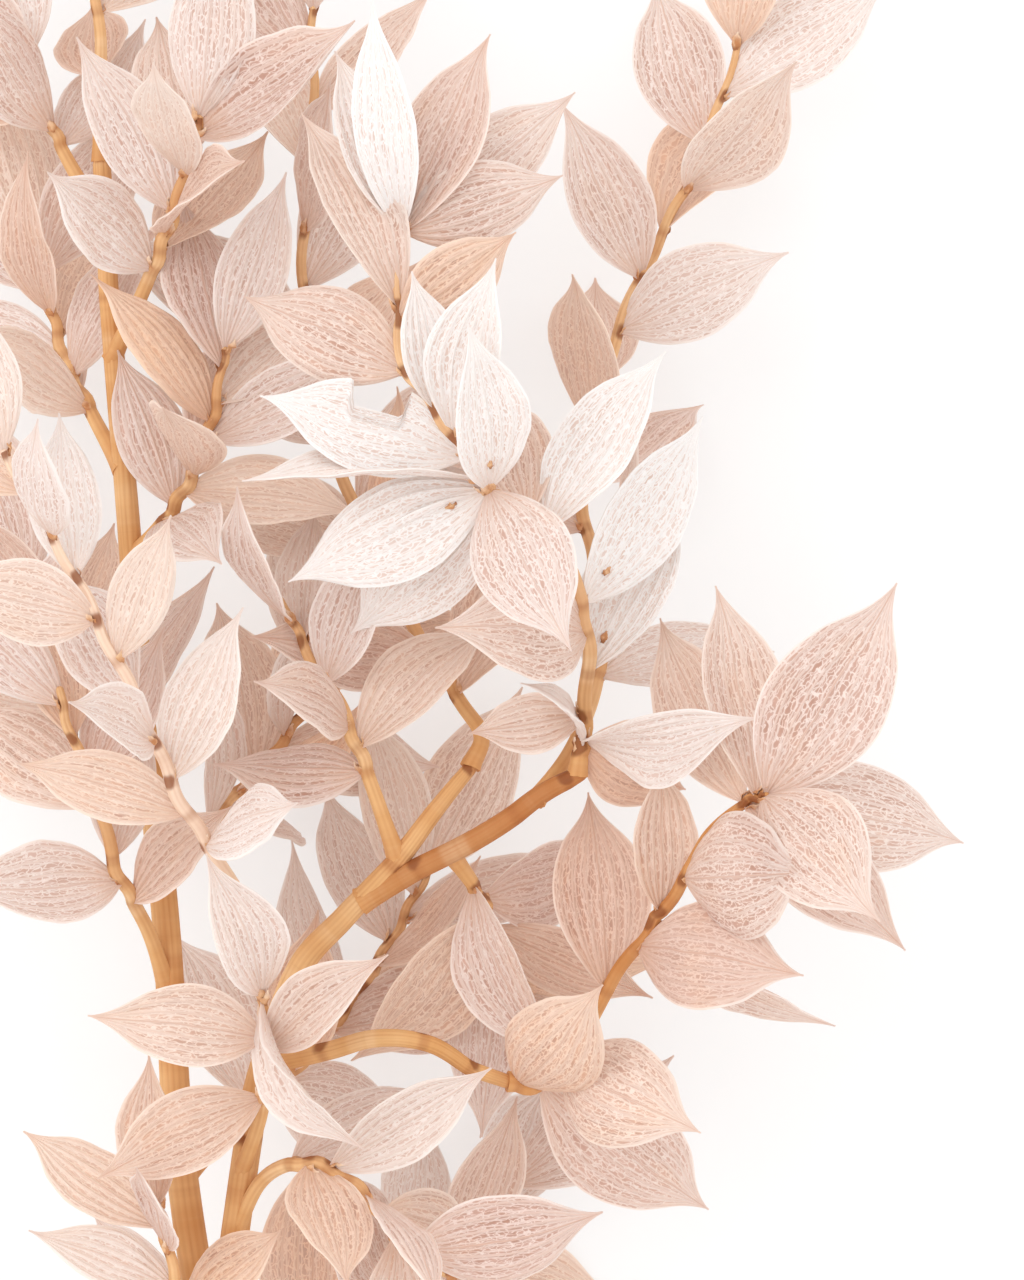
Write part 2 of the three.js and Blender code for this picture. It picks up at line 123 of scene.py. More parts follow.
class Value:
    """A value in a node tree. Arithmetic on it adds Math nodes, or Vector Math on vectors."""

    def __init__(self, tree, socket):
        self.tree = tree
        self.socket = socket

    def other(self, name):
        """Another output of the same node."""
        return Value(self.tree, self.socket.node.outputs[name])

    def is_vector(self):
        return self.socket.type in ("VECTOR", "RGBA")

    def math(self, operation, *others):
        inputs = dict(enumerate((self, *others)))
        return self.tree.add("ShaderNodeMath", {"operation": operation}, inputs)

    def vector_math(self, operation, *others):
        inputs = dict(enumerate((self, *others)))
        return self.tree.add("ShaderNodeVectorMath", {"operation": operation}, inputs)

    def __add__(self, other):
        return self.vector_math("ADD", other) if self.is_vector() else self.math("ADD", other)

    def __radd__(self, other):
        return self + other

    def __sub__(self, other):
        if self.is_vector():
            return self.vector_math("SUBTRACT", other)
        return self.math("SUBTRACT", other)

    def __rsub__(self, other):
        return self * -1 + other

    def __mul__(self, other):
        if isinstance(other, Value) and other.is_vector():
            return other.vector_math("MULTIPLY" if self.is_vector() else "SCALE", self)
        if isinstance(other, tuple):
            return self.vector_math("MULTIPLY", other)
        return self.vector_math("SCALE", other) if self.is_vector() else self.math("MULTIPLY", other)

    def __rmul__(self, other):
        return self * other

    def __truediv__(self, other):
        return self.math("DIVIDE", other)

    def __pow__(self, power):
        return self.math("POWER", power)

    def __abs__(self):
        return self.math("ABSOLUTE")

    def step(self, low, high):
        """0 below low, 1 above high, and a smooth rise between them."""
        inputs = {"Value": self, "From Min": low, "From Max": high}
        return self.tree.add("ShaderNodeMapRange", {"interpolation_type": "SMOOTHSTEP"}, inputs)

    def parts(self):
        """The X, Y and Z of a vector."""
        split = self.tree.add("ShaderNodeSeparateXYZ", {}, {"Vector": self})
        return split, split.other("Y"), split.other("Z")


class Tree:
    """A node tree that is being filled."""

    def __init__(self, tree):
        self.tree = tree

    def add(self, kind, settings, inputs):
        """Adds a node with its settings and its inputs, by name or number, and returns its output."""
        node = self.tree.nodes.new(kind)
        for name, value in settings.items():
            setattr(node, name, value)
        usable = [socket for socket in node.inputs if socket.enabled]
        for key, value in inputs.items():
            named = [socket for socket in usable if socket.name == key]
            socket = named[0] if named else usable[key]
            if isinstance(value, Value):
                self.tree.links.new(value.socket, socket)
            else:
                socket.default_value = value
        outputs = [socket for socket in node.outputs if socket.enabled]
        return Value(self, outputs[0]) if outputs else None

    def vector(self, x, y, z):
        return self.add("ShaderNodeCombineXYZ", {}, {"X": x, "Y": y, "Z": z})

    def noise(self, place, scale, detail=2.0, roughness=0.5):
        inputs = {"Vector": place, "Scale": scale, "Detail": detail, "Roughness": roughness}
        return self.add("ShaderNodeTexNoise", {}, inputs)

    def mix(self, share, a, b, kind="RGBA"):
        """A colour or a vector between a and b."""
        inputs = {"Factor": share, "A": a, "B": b}
        return self.add("ShaderNodeMix", {"data_type": kind}, inputs)

    def kept(self, name, kind="FLOAT"):
        """A number or a vector that the geometry carries under this name."""
        settings = {"data_type": kind}
        return self.add("GeometryNodeInputNamedAttribute", settings, {"Name": name})

    def keep(self, geometry, name, value):
        """The geometry, which from here on carries the value under this name."""
        settings = {"data_type": "FLOAT_VECTOR" if value.is_vector() else "FLOAT"}
        inputs = {"Geometry": geometry, "Name": name, "Value": value}
        return self.add("GeometryNodeStoreNamedAttribute", settings, inputs)


def geometry_tree(name, inputs):
    """An empty Geometry Nodes tree and its inputs, which are given as {name: socket kind}."""
    group = bpy.data.node_groups.new(name, "GeometryNodeTree")
    group.interface.new_socket("Geometry", in_out="OUTPUT", socket_type="NodeSocketGeometry")
    for label, kind in {"Geometry": "Geometry", **inputs}.items():
        group.interface.new_socket(label, in_out="INPUT", socket_type="NodeSocket" + kind)
    tree = Tree(group)
    given = group.nodes.new("NodeGroupInput")
    return tree, {s.name: Value(tree, s) for s in given.outputs if s.name}


def close_tree(tree, geometry, material):
    """Ends a Geometry Nodes tree: no instances are left, and the finish is on."""
    real = tree.add("GeometryNodeRealizeInstances", {}, {"Geometry": geometry})
    coated = tree.add("GeometryNodeSetMaterial", {}, {"Geometry": real, "Material": material})
    tree.add("NodeGroupOutput", {}, {"Geometry": coated})
    return tree.tree


def seed_mesh(name, points, edges, carried):
    """Bare points and edges that carry numbers and vectors for a Geometry Nodes tree."""
    mesh = bpy.data.meshes.new(name)
    mesh.from_pydata(points, edges, [])
    for key, values in carried.items():
        if isinstance(values[0], Vector):
            layer = mesh.attributes.new(key, "FLOAT_VECTOR", "POINT")
            layer.data.foreach_set("vector", [number for value in values for number in value])
        else:
            layer = mesh.attributes.new(key, "FLOAT", "POINT")
            layer.data.foreach_set("value", values)
    return mesh


def grown(name, group, seeds, settings):
    """A plain object of what a Geometry Nodes tree makes of the seeds."""
    piece = bpy.data.objects.new(name, seeds)
    bpy.context.collection.objects.link(piece)
    modifier = piece.modifiers.new(name, "NODES")
    modifier.node_group = group
    for item in group.interface.items_tree:
        if item.in_out == "INPUT" and item.name in settings:
            modifier[item.identifier] = settings[item.name]
    depsgraph = bpy.context.evaluated_depsgraph_get()
    shaped = piece.evaluated_get(depsgraph)
    mesh = bpy.data.meshes.new_from_object(
        shaped, preserve_all_data_layers=True, depsgraph=depsgraph
    )
    piece.modifiers.remove(modifier)
    piece.data = mesh
    return piece


def on_path(points, share):
    """The point and the direction at a share of a smooth line through the points."""
    place = share * (len(points) - 1)
    start = min(int(place), len(points) - 2)
    ends = [2 * points[0] - points[1], *points, 2 * points[-1] - points[-2]]
    before, a, b, after = ends[start : start + 4]
    leaving, arriving = (b - before) / 2, (after - a) / 2
    t = place - start
    point = (
        (2 * t**3 - 3 * t**2 + 1) * a
        + (t**3 - 2 * t**2 + t) * leaving
        + (3 * t**2 - 2 * t**3) * b
        + (t**3 - t**2) * arriving
    )
    slope = (
        (6 * t**2 - 6 * t) * (a - b)
        + (3 * t**2 - 4 * t + 1) * leaving
        + (3 * t**2 - 2 * t) * arriving
    )
    return point, slope.normalized()


def paint(red, green, blue):
    """A colour as 0 to 255 on a screen, as the light that a surface gives back."""
    levels = [level / 255 for level in (red, green, blue)]
    return (*[x / 12.92 if x <= 0.04045 else ((x + 0.055) / 1.055) ** 2.4 for x in levels], 1)


def finish(name):
    """A new material and the tree that fills it."""
    material = bpy.data.materials.new(name)
    material.use_nodes = True
    material.node_tree.nodes.clear()
    return material, Tree(material.node_tree)


def attribute(tree, name, output):
    """What the surface carries under this name, in a material."""
    return tree.add("ShaderNodeAttribute", {"attribute_name": name}, {}).other(output)


def bark_finish():
    """Bleached bark: gold to tan, streaked lengthwise, brown in the grooves and at the rings."""
    material, tree = finish("bleached_bark")
    grain = attribute(tree, "grain", "Vector")  # millimetres across, across and lengthwise
    ridge = attribute(tree, "ridge", "Fac")
    ring = attribute(tree, "ring", "Fac")
    scar = attribute(tree, "scar", "Fac")
    pale = attribute(tree, "pale", "Fac")
    streak = tree.noise(grain * (1.6, 1.6, 0.09), 1, 4, 0.6)
    patch = tree.noise(grain * (0.35, 0.35, 0.05), 1, 3, 0.6)
    fibre = tree.noise(grain * (5, 5, 0.5), 1, 3, 0.6)
    old = tree.mix(patch.step(0.35, 0.68), paint(204, 140, 80), paint(230, 180, 122))
    young = tree.mix(patch.step(0.35, 0.68), paint(216, 160, 100), paint(240, 198, 144))
    # Where pale is below 0 the wood darkens: partly age, partly painted shade.
    aged_and_shaded = tree.mix(pale.step(0, -0.4) * 0.65, old, paint(172, 104, 54))
    gold = tree.mix(pale.step(0, 0.3), aged_and_shaded, young)
    worn = tree.mix(pale.step(0.3, 1), gold, paint(244, 220, 202))
    streaked = tree.mix(streak.step(0.5, 0.74) * (0.6 - pale * 0.25), worn, paint(176, 102, 50))
    # Pale streaks along the grain: painted highlights.
    lit = tree.mix(streak.step(0.5, 0.28) * 0.4, streaked, paint(252, 228, 190))
    grooved = tree.mix((1 - ridge) * (0.45 - pale * 0.15), lit, paint(188, 114, 58))
    ringed = tree.mix(ring.step(0.3, 1) * 0.4, grooved, paint(164, 94, 46))
    scarred = tree.mix(scar.step(0.15, 0.7) * 0.8, ringed, paint(138, 76, 38))
    fleck = tree.mix(fibre.step(0.6, 0.8) * 0.35, scarred, paint(166, 96, 48))
    bump = tree.add(
        "ShaderNodeBump",
        {},
        {"Strength": 0.5, "Distance": 0.12 * MM, "Height": fibre + streak},
    )
    bark = tree.add(
        "ShaderNodeBsdfPrincipled",
        {},
        {
            "Base Color": fleck,
            "Roughness": 0.48 + streak * 0.25,
            "Specular IOR Level": 0.35,
            "Normal": bump,
        },
    )
    tree.add("ShaderNodeOutputMaterial", {}, {"Surface": bark})
    return material


def wood_tree():
    """Bark round a path: a tapered tube with lengthwise ridges that wander a little."""
    sizes = {"Sides": "Int", "Ridges": "Float", "Ridge Height": "Float", "Material": "Material"}
    tree, given = geometry_tree("ridged_wood", sizes)
    path = tree.add("GeometryNodeMeshToCurve", {}, {"Mesh": given["Geometry"]})
    circle = tree.add(
        "GeometryNodeCurvePrimitiveCircle", {}, {"Resolution": given["Sides"], "Radius": 1.0}
    )
    corner = tree.add("GeometryNodeInputIndex", {}, {})
    round_wood = corner / given["Sides"] * (2 * math.pi)
    profile = tree.keep(circle, "round", round_wood)
    bare = tree.add(
        "GeometryNodeCurveToMesh",
        {},
        {
            "Curve": path,
            "Profile Curve": profile,
            "Scale": tree.kept("radius"),
            "Fill Caps": True,
        },
    )

    # The ridges sway as they run, the limb isn't quite round, and a scar stands out at a ring.
    turn = tree.kept("round")
    run = tree.kept("run")
    sway = tree.noise(tree.vector(turn.math("COSINE"), turn.math("SINE"), run * 0.03), 1)
    wave = ((turn * given["Ridges"] * 0.5 + sway * 5).math("SINE")).math("ABSOLUTE")
    ridge = wave**0.6
    uneven = tree.noise(
        tree.vector(turn.math("COSINE") * 0.8, turn.math("SINE") * 0.8, run * 0.12), 1
    )
    facing = turn - tree.noise(tree.vector(run * 0.04, 3, 5), 1) * 30
    scar = tree.kept("ring") * facing.math("COSINE").step(0.1, 0.9)
    radius = tree.kept("radius")
    knob = scar * radius * 0.3
    lift = (ridge - 0.7) * given["Ridge Height"] + (uneven - 0.5) * radius * 0.3 + knob
    spread = radius / MM
    grain = tree.vector(turn.math("COSINE") * spread, turn.math("SINE") * spread, run)
    carried = tree.keep(tree.keep(bare, "ridge", ridge), "grain", grain)
    carried = tree.keep(carried, "scar", scar)
    normal = tree.add("GeometryNodeInputNormal", {}, {})
    ridged = tree.add(
        "GeometryNodeSetPosition", {}, {"Geometry": carried, "Offset": normal * lift}
    )

    # Nothing of it goes below the table.
    x, y, z = tree.add("GeometryNodeInputPosition", {}, {}).parts()
    resting = tree.add(
        "GeometryNodeSetPosition",
        {},
        {"Geometry": ridged, "Position": tree.vector(x, y, z.math("MAXIMUM", 0))},
    )
    smooth = tree.add("GeometryNodeSetShadeSmooth", {}, {"Geometry": resting})
    return close_tree(tree, smooth, given["Material"])


def zigzag(rings, run):
    """How far a limb stands off its path to the left or right: it turns back at each ring."""
    stops = sorted(rings)
    before = [at for at in stops if at <= run]
    after = [at for at in stops if at > run]
    if not before or not after:
        return 0
    side = ZIGZAG if len(before) % 2 else -ZIGZAG
    return side * math.sin(math.pi * (run - before[-1]) / (after[0] - before[-1]))


def path_length(path, share, samples=40):
    """Millimetres along a path up to a share of it."""
    spots = [on_path(path, share * i / samples)[0] for i in range(samples + 1)]
    return sum((b - a).length for a, b in zip(spots, spots[1:]))


def limb(points, radii, rings, pale, flare=0.3, step=0.8):
    """The seeds of one length of wood, sampled every `step` millimetres along its path.

    rings are the lengths along it where it is ringed and bends a little to the other side, pale
    is below 0 on wood painted darker, partly for age and partly as painted shade, and 1 on wood
    worn nearly white, and flare is how much wider its foot is where it grows out of older wood.
    """
    path = [Vector(point) for point in points]
    steps = max(round(path_length(path, 1, 200) / step), 8)
    run = 0
    last = path[0]
    carried = {"radius": [], "run": [], "ring": [], "pale": []}
    placed = []
    for i in range(steps + 1):
        share = i / steps
        point, heading = on_path(path, share)
        run += (point - last).length
        last = point
        ring = max([math.exp(-(((run - at) / RING_WIDTH) ** 2)) for at in rings] + [0])
        radius = radii[0] + (radii[1] - radii[0]) * share**2
        radius *= 1 + flare * math.exp(-run / FLARE_LENGTH)
        placed.append(point + zigzag(rings, run) * heading.cross(UP).normalized())
        carried["radius"].append(radius * MM)
        carried["run"].append(run)
        carried["ring"].append(ring)
        carried["pale"].append(pale * (1 - math.exp(-run / PALE_LENGTH)))
    end, onward = on_path(path, 1)
    for slope in (30, 55, 75, 88):  # degrees round the dome that closes its far end
        turn = math.radians(slope)
        placed.append(end + onward * radii[1] * math.sin(turn))
        carried["radius"].append(radii[1] * math.cos(turn) * MM)
        carried["run"].append(run)
        carried["ring"].append(0)
        carried["pale"].append(pale)
    return [point * MM for point in placed], carried


def wood(name, limbs, settings):
    """One piece of wood made of several limbs that grow into each other."""
    points, edges, carried = [], [], {}
    for placed, numbers in limbs:
        first = len(points)
        points += placed
        edges += [(first + i, first + i + 1) for i in range(len(placed) - 1)]
        for key, values in numbers.items():
            carried.setdefault(key, []).extend(values)
    return grown(name, WOOD_TREE, seed_mesh(name, points, edges, carried), settings)


def cut_cane(piece):
    """Cuts the foot of the cane on the slant and closes it with a flat cut face."""
    mesh = bmesh.new()
    mesh.from_mesh(piece.data)
    outward = Matrix.Rotation(CUT_SLANT, 3, "X") @ Vector((0, -1, 0))
    bmesh.ops.bisect_plane(
        mesh,
        geom=mesh.verts[:] + mesh.edges[:] + mesh.faces[:],
        plane_co=CUT_CENTRE,
        plane_no=outward,
        clear_outer=True,
    )
    rim = [edge for edge in mesh.edges if edge.is_boundary]
    cap = bmesh.ops.contextual_create(mesh, geom=rim)["faces"]
    inner = bmesh.ops.inset_region(mesh, faces=cap, thickness=0.35 * MM)["faces"]
    for face in cap + inner:
        face.smooth = False
    mesh.to_mesh(piece.data)
    mesh.free()


def ring_places(first, gap, count):
    """Where the rings are along a limb, as uneven as growth makes them."""
    return [first + gap * (i + 0.22 * math.sin(i * 2.4)) for i in range(count)]


BARK = bark_finish()
WOOD_TREE = wood_tree()
cane_limbs = [
    limb(CANE_PATH, CANE_RADIUS, ring_places(*CANE_RINGS), pale=0.15, flare=0, step=1.2),
    limb(FRONT_BRANCH_PATH, FRONT_RADIUS, ring_places(*FRONT_RINGS), pale=0.2),
    # The right fork is painted darker: partly age, partly painted shade.
    limb(RIGHT_FORK_PATH, RIGHT_FORK_RADIUS, ring_places(*RIGHT_FORK_RINGS), pale=-0.4),
    limb(LOW_FORK_PATH, LOW_FORK_RADIUS, ring_places(*LOW_FORK_RINGS), pale=0.3),
]
cane_settings = {"Sides": 48, "Ridges": 15.0, "Ridge Height": 0.12 * MM, "Material": BARK}
cane = wood("cane_bark", cane_limbs, cane_settings)
cut_cane(cane)
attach(cane, "root")
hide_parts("cane")

# ---- the leafy twigs -----------------------------------------------------------------------
# A twig is a thin, pale, ridged shoot with a leaf at each of its rings, in a small brown scale.
# A leaf is a papery blade, bleached and dyed, with seven raised veins and a fine net of veins
# between them, a pale hard rim and a spine at its tip.

LEAF_LENGTH = 31
LEAF_SHARE = 0.47  # width over length
LEAF_THICKNESS = 0.26
GOLDEN_ANGLE = 137.5
TABLE_ZONE = 3  # a leaf that would reach below this height is pressed flat
TWIG_RADIUS = (1.05, 0.55)
TWIG_PALENESS = 0.45
LEAF_VEINS = 7
CLOSE_ROWS = 62  # rows of corners along a leaf that is seen from close by
FAR_ROWS = 28
PATTERN_STEP = 0.37  # what sets the ripples and the net of one leaf apart from the next one's
BITE_PLACE = 0.46  # share of a leaf's length
BITE_DEPTH = 0.58  # share of its half width
SCALE_LENGTH = 2.9
BUD_LENGTH = 1.9
BUD_PLACE = 0.15  # share of a leaf's length


def leaf_tree():
    """Leaves on their seeds: each a closed blade, arched, cupped, twisted and veined."""
    sizes = {
        "Veins": "Int",
        "Rows": "Int",
        "Thickness": "Float",
        "Vein Height": "Float",
        "Rib Height": "Float",
        "Stalk": "Float",
        "Material": "Material",
    }
    tree, given = geometry_tree("leaves", sizes)

    # A sleeve with a line of corners on each vein, at its two feet and halfway to the next.
    veins = given["Veins"]
    corners = veins * 8 + 2
    sleeve = tree.add(
        "GeometryNodeMeshCylinder",
        {"fill_type": "NGON"},
        {"Vertices": corners, "Side Segments": given["Rows"], "Radius": 1.0, "Depth": 1.0},
    )
    x, y, z = tree.add("GeometryNodeInputPosition", {}, {}).parts()
    number = (y.math("ARCTAN2", x) / (2 * math.pi) * corners).math("ROUND")
    number = number.math("FLOORED_MODULO", corners)
    middle = corners * 0.5 - 0.5
    layer = (middle - number).math("SIGN")
    place = (middle - abs(number - middle)) / 4 - veins * 0.5
    vein = place.math("ROUND")
    off = place - vein
    foot = 0.12  # from the crest of a vein to its foot, over the gap between veins
    slope = abs(off) * (4 * foot)
    spread = (abs(off) - 0.25) * (4 * (0.5 - foot)) + foot
    across = vein + off.math("SIGN") * slope.math("MAXIMUM", spread)
    crest = 1 - (abs(off) * 100).math("MINIMUM", 1)
    marked = tree.keep(sleeve, "corner", tree.vector(across, layer, z + 0.5))
    marked = tree.keep(marked, "crest", crest)

    seeds = tree.keep(given["Geometry"], "base", tree.add("GeometryNodeInputPosition", {}, {}))
    placed = tree.add("GeometryNodeInstanceOnPoints", {}, {"Points": seeds, "Instance": marked})
    loose = tree.add("GeometryNodeRealizeInstances", {}, {"Geometry": placed})

    # The blade: ovate, drawn out to a tip, turned about its own length.
    across, layer, t = tree.kept("corner", "FLOAT_VECTOR").parts()
    along = tree.kept("along", "FLOAT_VECTOR")
    face = tree.kept("face", "FLOAT_VECTOR")
    length = tree.kept("length")
    seed = tree.kept("seed")
    side = along.vector_math("CROSS_PRODUCT", face)
    turn = tree.kept("twist") * (t - 0.5)
    sideways = side * turn.math("COSINE") + face * turn.math("SINE")
    normal = face * turn.math("COSINE") - side * turn.math("SINE")
    body = ((t.math("MINIMUM", 0.9999) ** 0.85) * math.pi).math("SINE")
    drawn = 1 - t.step(0.7, 1) * 0.55
    stalk = given["Stalk"] * (1 - t * 0.7)
    reach = (tree.kept("width") * 0.5 * body * drawn).math("MAXIMUM", stalk)
    share = across / (veins * 0.5)
    bitten_side = (share * tree.kept("bite")).math("MAXIMUM", 0).step(0, 0.4)
    from_bite = abs(t - BITE_PLACE) + tree.noise(t * 9, 1) * 0.1 - 0.05
    bitten = bitten_side * (1 - from_bite.step(0.11, 0.145))
    share = share * (1 - bitten * BITE_DEPTH)
    ripple = tree.noise(tree.vector(share * 1.1, t * 2.6, seed * 7.3), 1, 1.0) - 0.5
    edge_ripple = tree.noise(tree.vector(share.math("SIGN"), t * 6, seed * 3.1), 1, 1.0) - 0.5
    ripple = ripple * (1.9 * MM) + edge_ripple * share * share * (1.6 * MM)
    bow = length * tree.kept("arch") * 4 * t * (1 - t)
    tip = t.step(0.45, 1) * (length / 10)
    nod = (seed * 0.43).math("FRACT") - 0.6  # how far the tip bends down or up, and sideways
    hook = (seed * 1.57).math("FRACT") - 0.5
    line = tree.kept("base", "FLOAT_VECTOR") + along * (length * t)
    flat = line + face * (bow + tip * nod) + side * (tip * hook)
    ribs = (across * (2 * math.pi)).math("COSINE") * given["Rib Height"]
    dished = reach * tree.kept("cup") * share * share + (ripple + ribs) * (body * 0.9)
    spot = flat + sideways * (reach * share) + normal * dished

    # What would go through the table lies flat on it.
    x, y, z = spot.parts()
    rest = given["Thickness"] * 0.5 + given["Vein Height"]
    zone = TABLE_ZONE * MM
    room = zone - rest
    fall = ((z - zone).math("MINIMUM", 0) / room).math("EXPONENT") * room
    height = z.math("MAXIMUM", zone) - zone + rest + fall
    depth = ((zone - z) / zone).math("MAXIMUM", 0).math("MINIMUM", 1)
    _, _, facing = normal.parts()
    level = tree.vector(0, 0, facing.math("SIGN"))
    laid = tree.mix(depth, normal, level, "VECTOR").vector_math("NORMALIZE")

    # Its two faces: thinner at the edge and the tip, and raised along the veins.
    at_edge = abs(across).math("GREATER_THAN", veins * 0.5 - 0.01)
    thin = given["Thickness"] * 0.5 * (1 - at_edge * 0.35) * (1 - t.step(0.8, 1) * 0.4)
    relief = tree.kept("crest") * given["Vein Height"] * body
    hollow = tree.kept("crest") - 1
    relief = relief + hollow * (1 - at_edge) * given["Vein Height"] * 0.3 * body
    point = tree.vector(x, y, height) + laid * (layer * (thin + relief))

    blade = tree.keep(loose, "blade", tree.vector(across, length * t / MM, seed))
    blade = tree.keep(blade, "half", reach / MM)
    shaped = tree.add("GeometryNodeSetPosition", {}, {"Geometry": blade, "Position": point})
    smooth = tree.add("GeometryNodeSetShadeSmooth", {}, {"Geometry": shaped})
    corner_angle = tree.add("GeometryNodeInputMeshEdgeAngle", {}, {})
    crisp = tree.add(
        "GeometryNodeSetShadeSmooth",
        {"domain": "EDGE"},
        {
            "Geometry": smooth,
            "Selection": corner_angle.math("GREATER_THAN", math.radians(50)),
            "Shade Smooth": False,
        },
    )
    return close_tree(tree, crisp, given["Material"])


def leaf_finish():
    """Bleached, blush-dyed leaf: white veins, tan and pink cells, and light that comes through."""
    material, tree = finish("bleached_leaf")
    across, run, seed = attribute(tree, "blade", "Vector").parts()
    half = attribute(tree, "half", "Fac")
    white = attribute(tree, "tone", "Fac")
    gold = attribute(tree, "gold", "Fac")
    gap = half / (LEAF_VEINS / 2)  # millimetres from vein to vein

    # The seven veins and the rim, then the net between them.
    wander = tree.noise(tree.vector(across * 0.4, run * 0.12, seed * 9), 1) - 0.5
    strayed = across + wander * 0.5
    to_vein = abs((strayed + 0.5).math("FRACT") - 0.5) * gap
    main = 1 - to_vein.step(0.08, 0.26)
    waver = tree.noise(tree.vector(across * 0.9, run * 0.3, seed * 23), 1) - 0.5
    to_fine_vein = abs(((strayed + waver * 0.5) * 2).math("FRACT") - 0.5) * gap / 2
    fine = 1 - to_fine_vein.step(0.05, 0.2)
    # Painted shade: the ground darkens beside each vein, where its crease would lie in shade.
    painted_crease_shade = to_vein.step(0.7, 0.22)
    rim = 1 - ((LEAF_VEINS / 2 - abs(across)) * gap).step(0.2, 0.4)
    shake = tree.noise(tree.vector(across * 2.2, run * 0.7, seed * 5), 1).other("Color")
    shift = (shake - (0.5, 0.5, 0.5)) * (2.4, 2.2, 0)
    net_place = tree.vector(across * 4.3, run * 0.68, seed * 31) + shift
    cells = {"voronoi_dimensions": "2D", "feature": "DISTANCE_TO_EDGE"}
    centres = {"voronoi_dimensions": "2D", "feature": "F1"}
    edge = tree.add("ShaderNodeTexVoronoi", cells, {"Vector": net_place, "Scale": 1.0})
    cell = tree.add("ShaderNodeTexVoronoi", centres, {"Vector": net_place, "Scale": 1.0})
    lot = cell.other("Color").parts()[0]  # a number of its own for each cell
    net = 1 - edge.step(0.03 + white * 0.04, 0.12 + white * 0.1)  # a paler leaf, a thicker net
    veins = main.math("MAXIMUM", net).math("MAXIMUM", rim).math("MAXIMUM", fine * 0.8)

    # The colours of the cells: blush or cream, deeper here and there, and tan at the foot.
    cloud = tree.noise(tree.vector(across * 0.35, run * 0.06, seed * 13), 1, 3)
    stain = tree.noise(tree.vector(across * 0.3, run * 0.09, seed * 17 + 40), 1, 2)
    blush = tree.mix(cloud.step(0.3, 0.7), paint(206, 160, 147), paint(223, 185, 173))
    golden = gold * 0.85 + stain.step(0.5, 0.72) * 0.2
    stained = tree.mix(golden, blush, paint(252, 194, 140))
    cream = tree.mix(white * 0.92, stained, paint(252, 245, 242))
    cells_dark_and_crease_shade = (lot * 0.6 + 0.4) * edge.step(0.08, 0.2) * (0.55 + cloud.step(0.65, 0.35) * 0.45)
    # The dark cells, and the painted crease shade beside the veins.
    cells_dark_and_crease_shade = cells_dark_and_crease_shade.math("MAXIMUM", painted_crease_shade * shake.parts()[2].step(0.3, 0.6) * (0.8 - white * 0.65))
    deep = tree.mix(white.step(0, 0.9), paint(174, 118, 96), paint(226, 200, 188))
    spotted = tree.mix(cells_dark_and_crease_shade, cream, deep)
    foot = 1 - run.step(0.5, 8)
    tanned = tree.mix(foot * (0.65 - white * 0.3), spotted, paint(222, 166, 116))
    bright = white.step(0.02, 0.16).math("MAXIMUM", rim)
    soft_vein = tree.mix(bright, paint(241, 216, 206), paint(255, 247, 243))
    gold_vein = tree.mix(golden * 0.8, soft_vein, paint(255, 218, 180))
    pale_vein = tree.mix(white, gold_vein, paint(255, 255, 255))
    netted = tree.mix(veins * (0.95 - foot * 0.3), tanned, pale_vein)
    midrib = 1 - abs(strayed).step(0.3, 0.5)
    # Brown lines along the veins: partly their own tan, partly painted shade beside them.
    vein_tan_and_shade = (1 - to_vein.step(0.04, 0.18)) * (0.45 + midrib * 0.35) * (1 - white * 0.9)
    veined = tree.mix(vein_tan_and_shade, netted, paint(202, 148, 120))
    relief = (main + (fine + rim) * 0.5) * gap.math("MINIMUM", 1)
    bump = tree.add(
        "ShaderNodeBump", {}, {"Strength": 0.5, "Distance": 0.1 * MM, "Height": relief}
    )
    paper = tree.add(
        "ShaderNodeBsdfPrincipled",
        {},
        {
            "Base Color": veined,
            "Roughness": 0.62 - veins * 0.12,
            "Specular IOR Level": 0.3,
            "Normal": bump,
        },
    )
    glow = tree.add("ShaderNodeBsdfTranslucent", {}, {"Color": paint(252, 242, 234)})
    let_through = 0.54 - veins * 0.1 - white * 0.24
    lit = tree.add("ShaderNodeMixShader", {}, {0: let_through, 1: paper, 2: glow})
    tree.add("ShaderNodeOutputMaterial", {}, {"Surface": lit})
    return material


def scale_finish():
    """The brown, papery scale that stays at the foot of each leaf."""
    material, tree = finish("dry_scale")
    across, run, seed = attribute(tree, "blade", "Vector").parts()
    mottle = tree.noise(tree.vector(across * 2, run * 0.7, seed * 5), 1, 3)
    brown = tree.mix(mottle.step(0.35, 0.7), paint(196, 134, 86), paint(232, 190, 148))
    footed = tree.mix(run.step(0.9, 0.2) * 0.7, brown, paint(138, 78, 40))
    tipped = tree.mix(run.step(1.4, 3.2), footed, paint(244, 222, 200))
    chaff = tree.add("ShaderNodeBsdfPrincipled", {}, {"Base Color": tipped, "Roughness": 0.6})
    tree.add("ShaderNodeOutputMaterial", {}, {"Surface": chaff})
    return material


def draws(seed):
    """Numbers from 0 to 1 that are the same on every run."""
    state = seed
    while True:
        state = (state * 1664525 + 1013904223) % 2**32
        yield state / 2**32


def aim(bearing, lift, roll):
    """A leaf's direction and the way it faces, from degrees: bearing is from +X towards +Y,
    lift is above the table, and roll turns a leaf that faces up about its own length."""
    turn, rise = math.radians(bearing), math.radians(lift)
    along = Vector(
        (math.cos(turn) * math.cos(rise), math.sin(turn) * math.cos(rise), math.sin(rise))
    )
    face = (UP - along * along.z).normalized()
    return along, Matrix.Rotation(math.radians(roll), 3, along) @ face


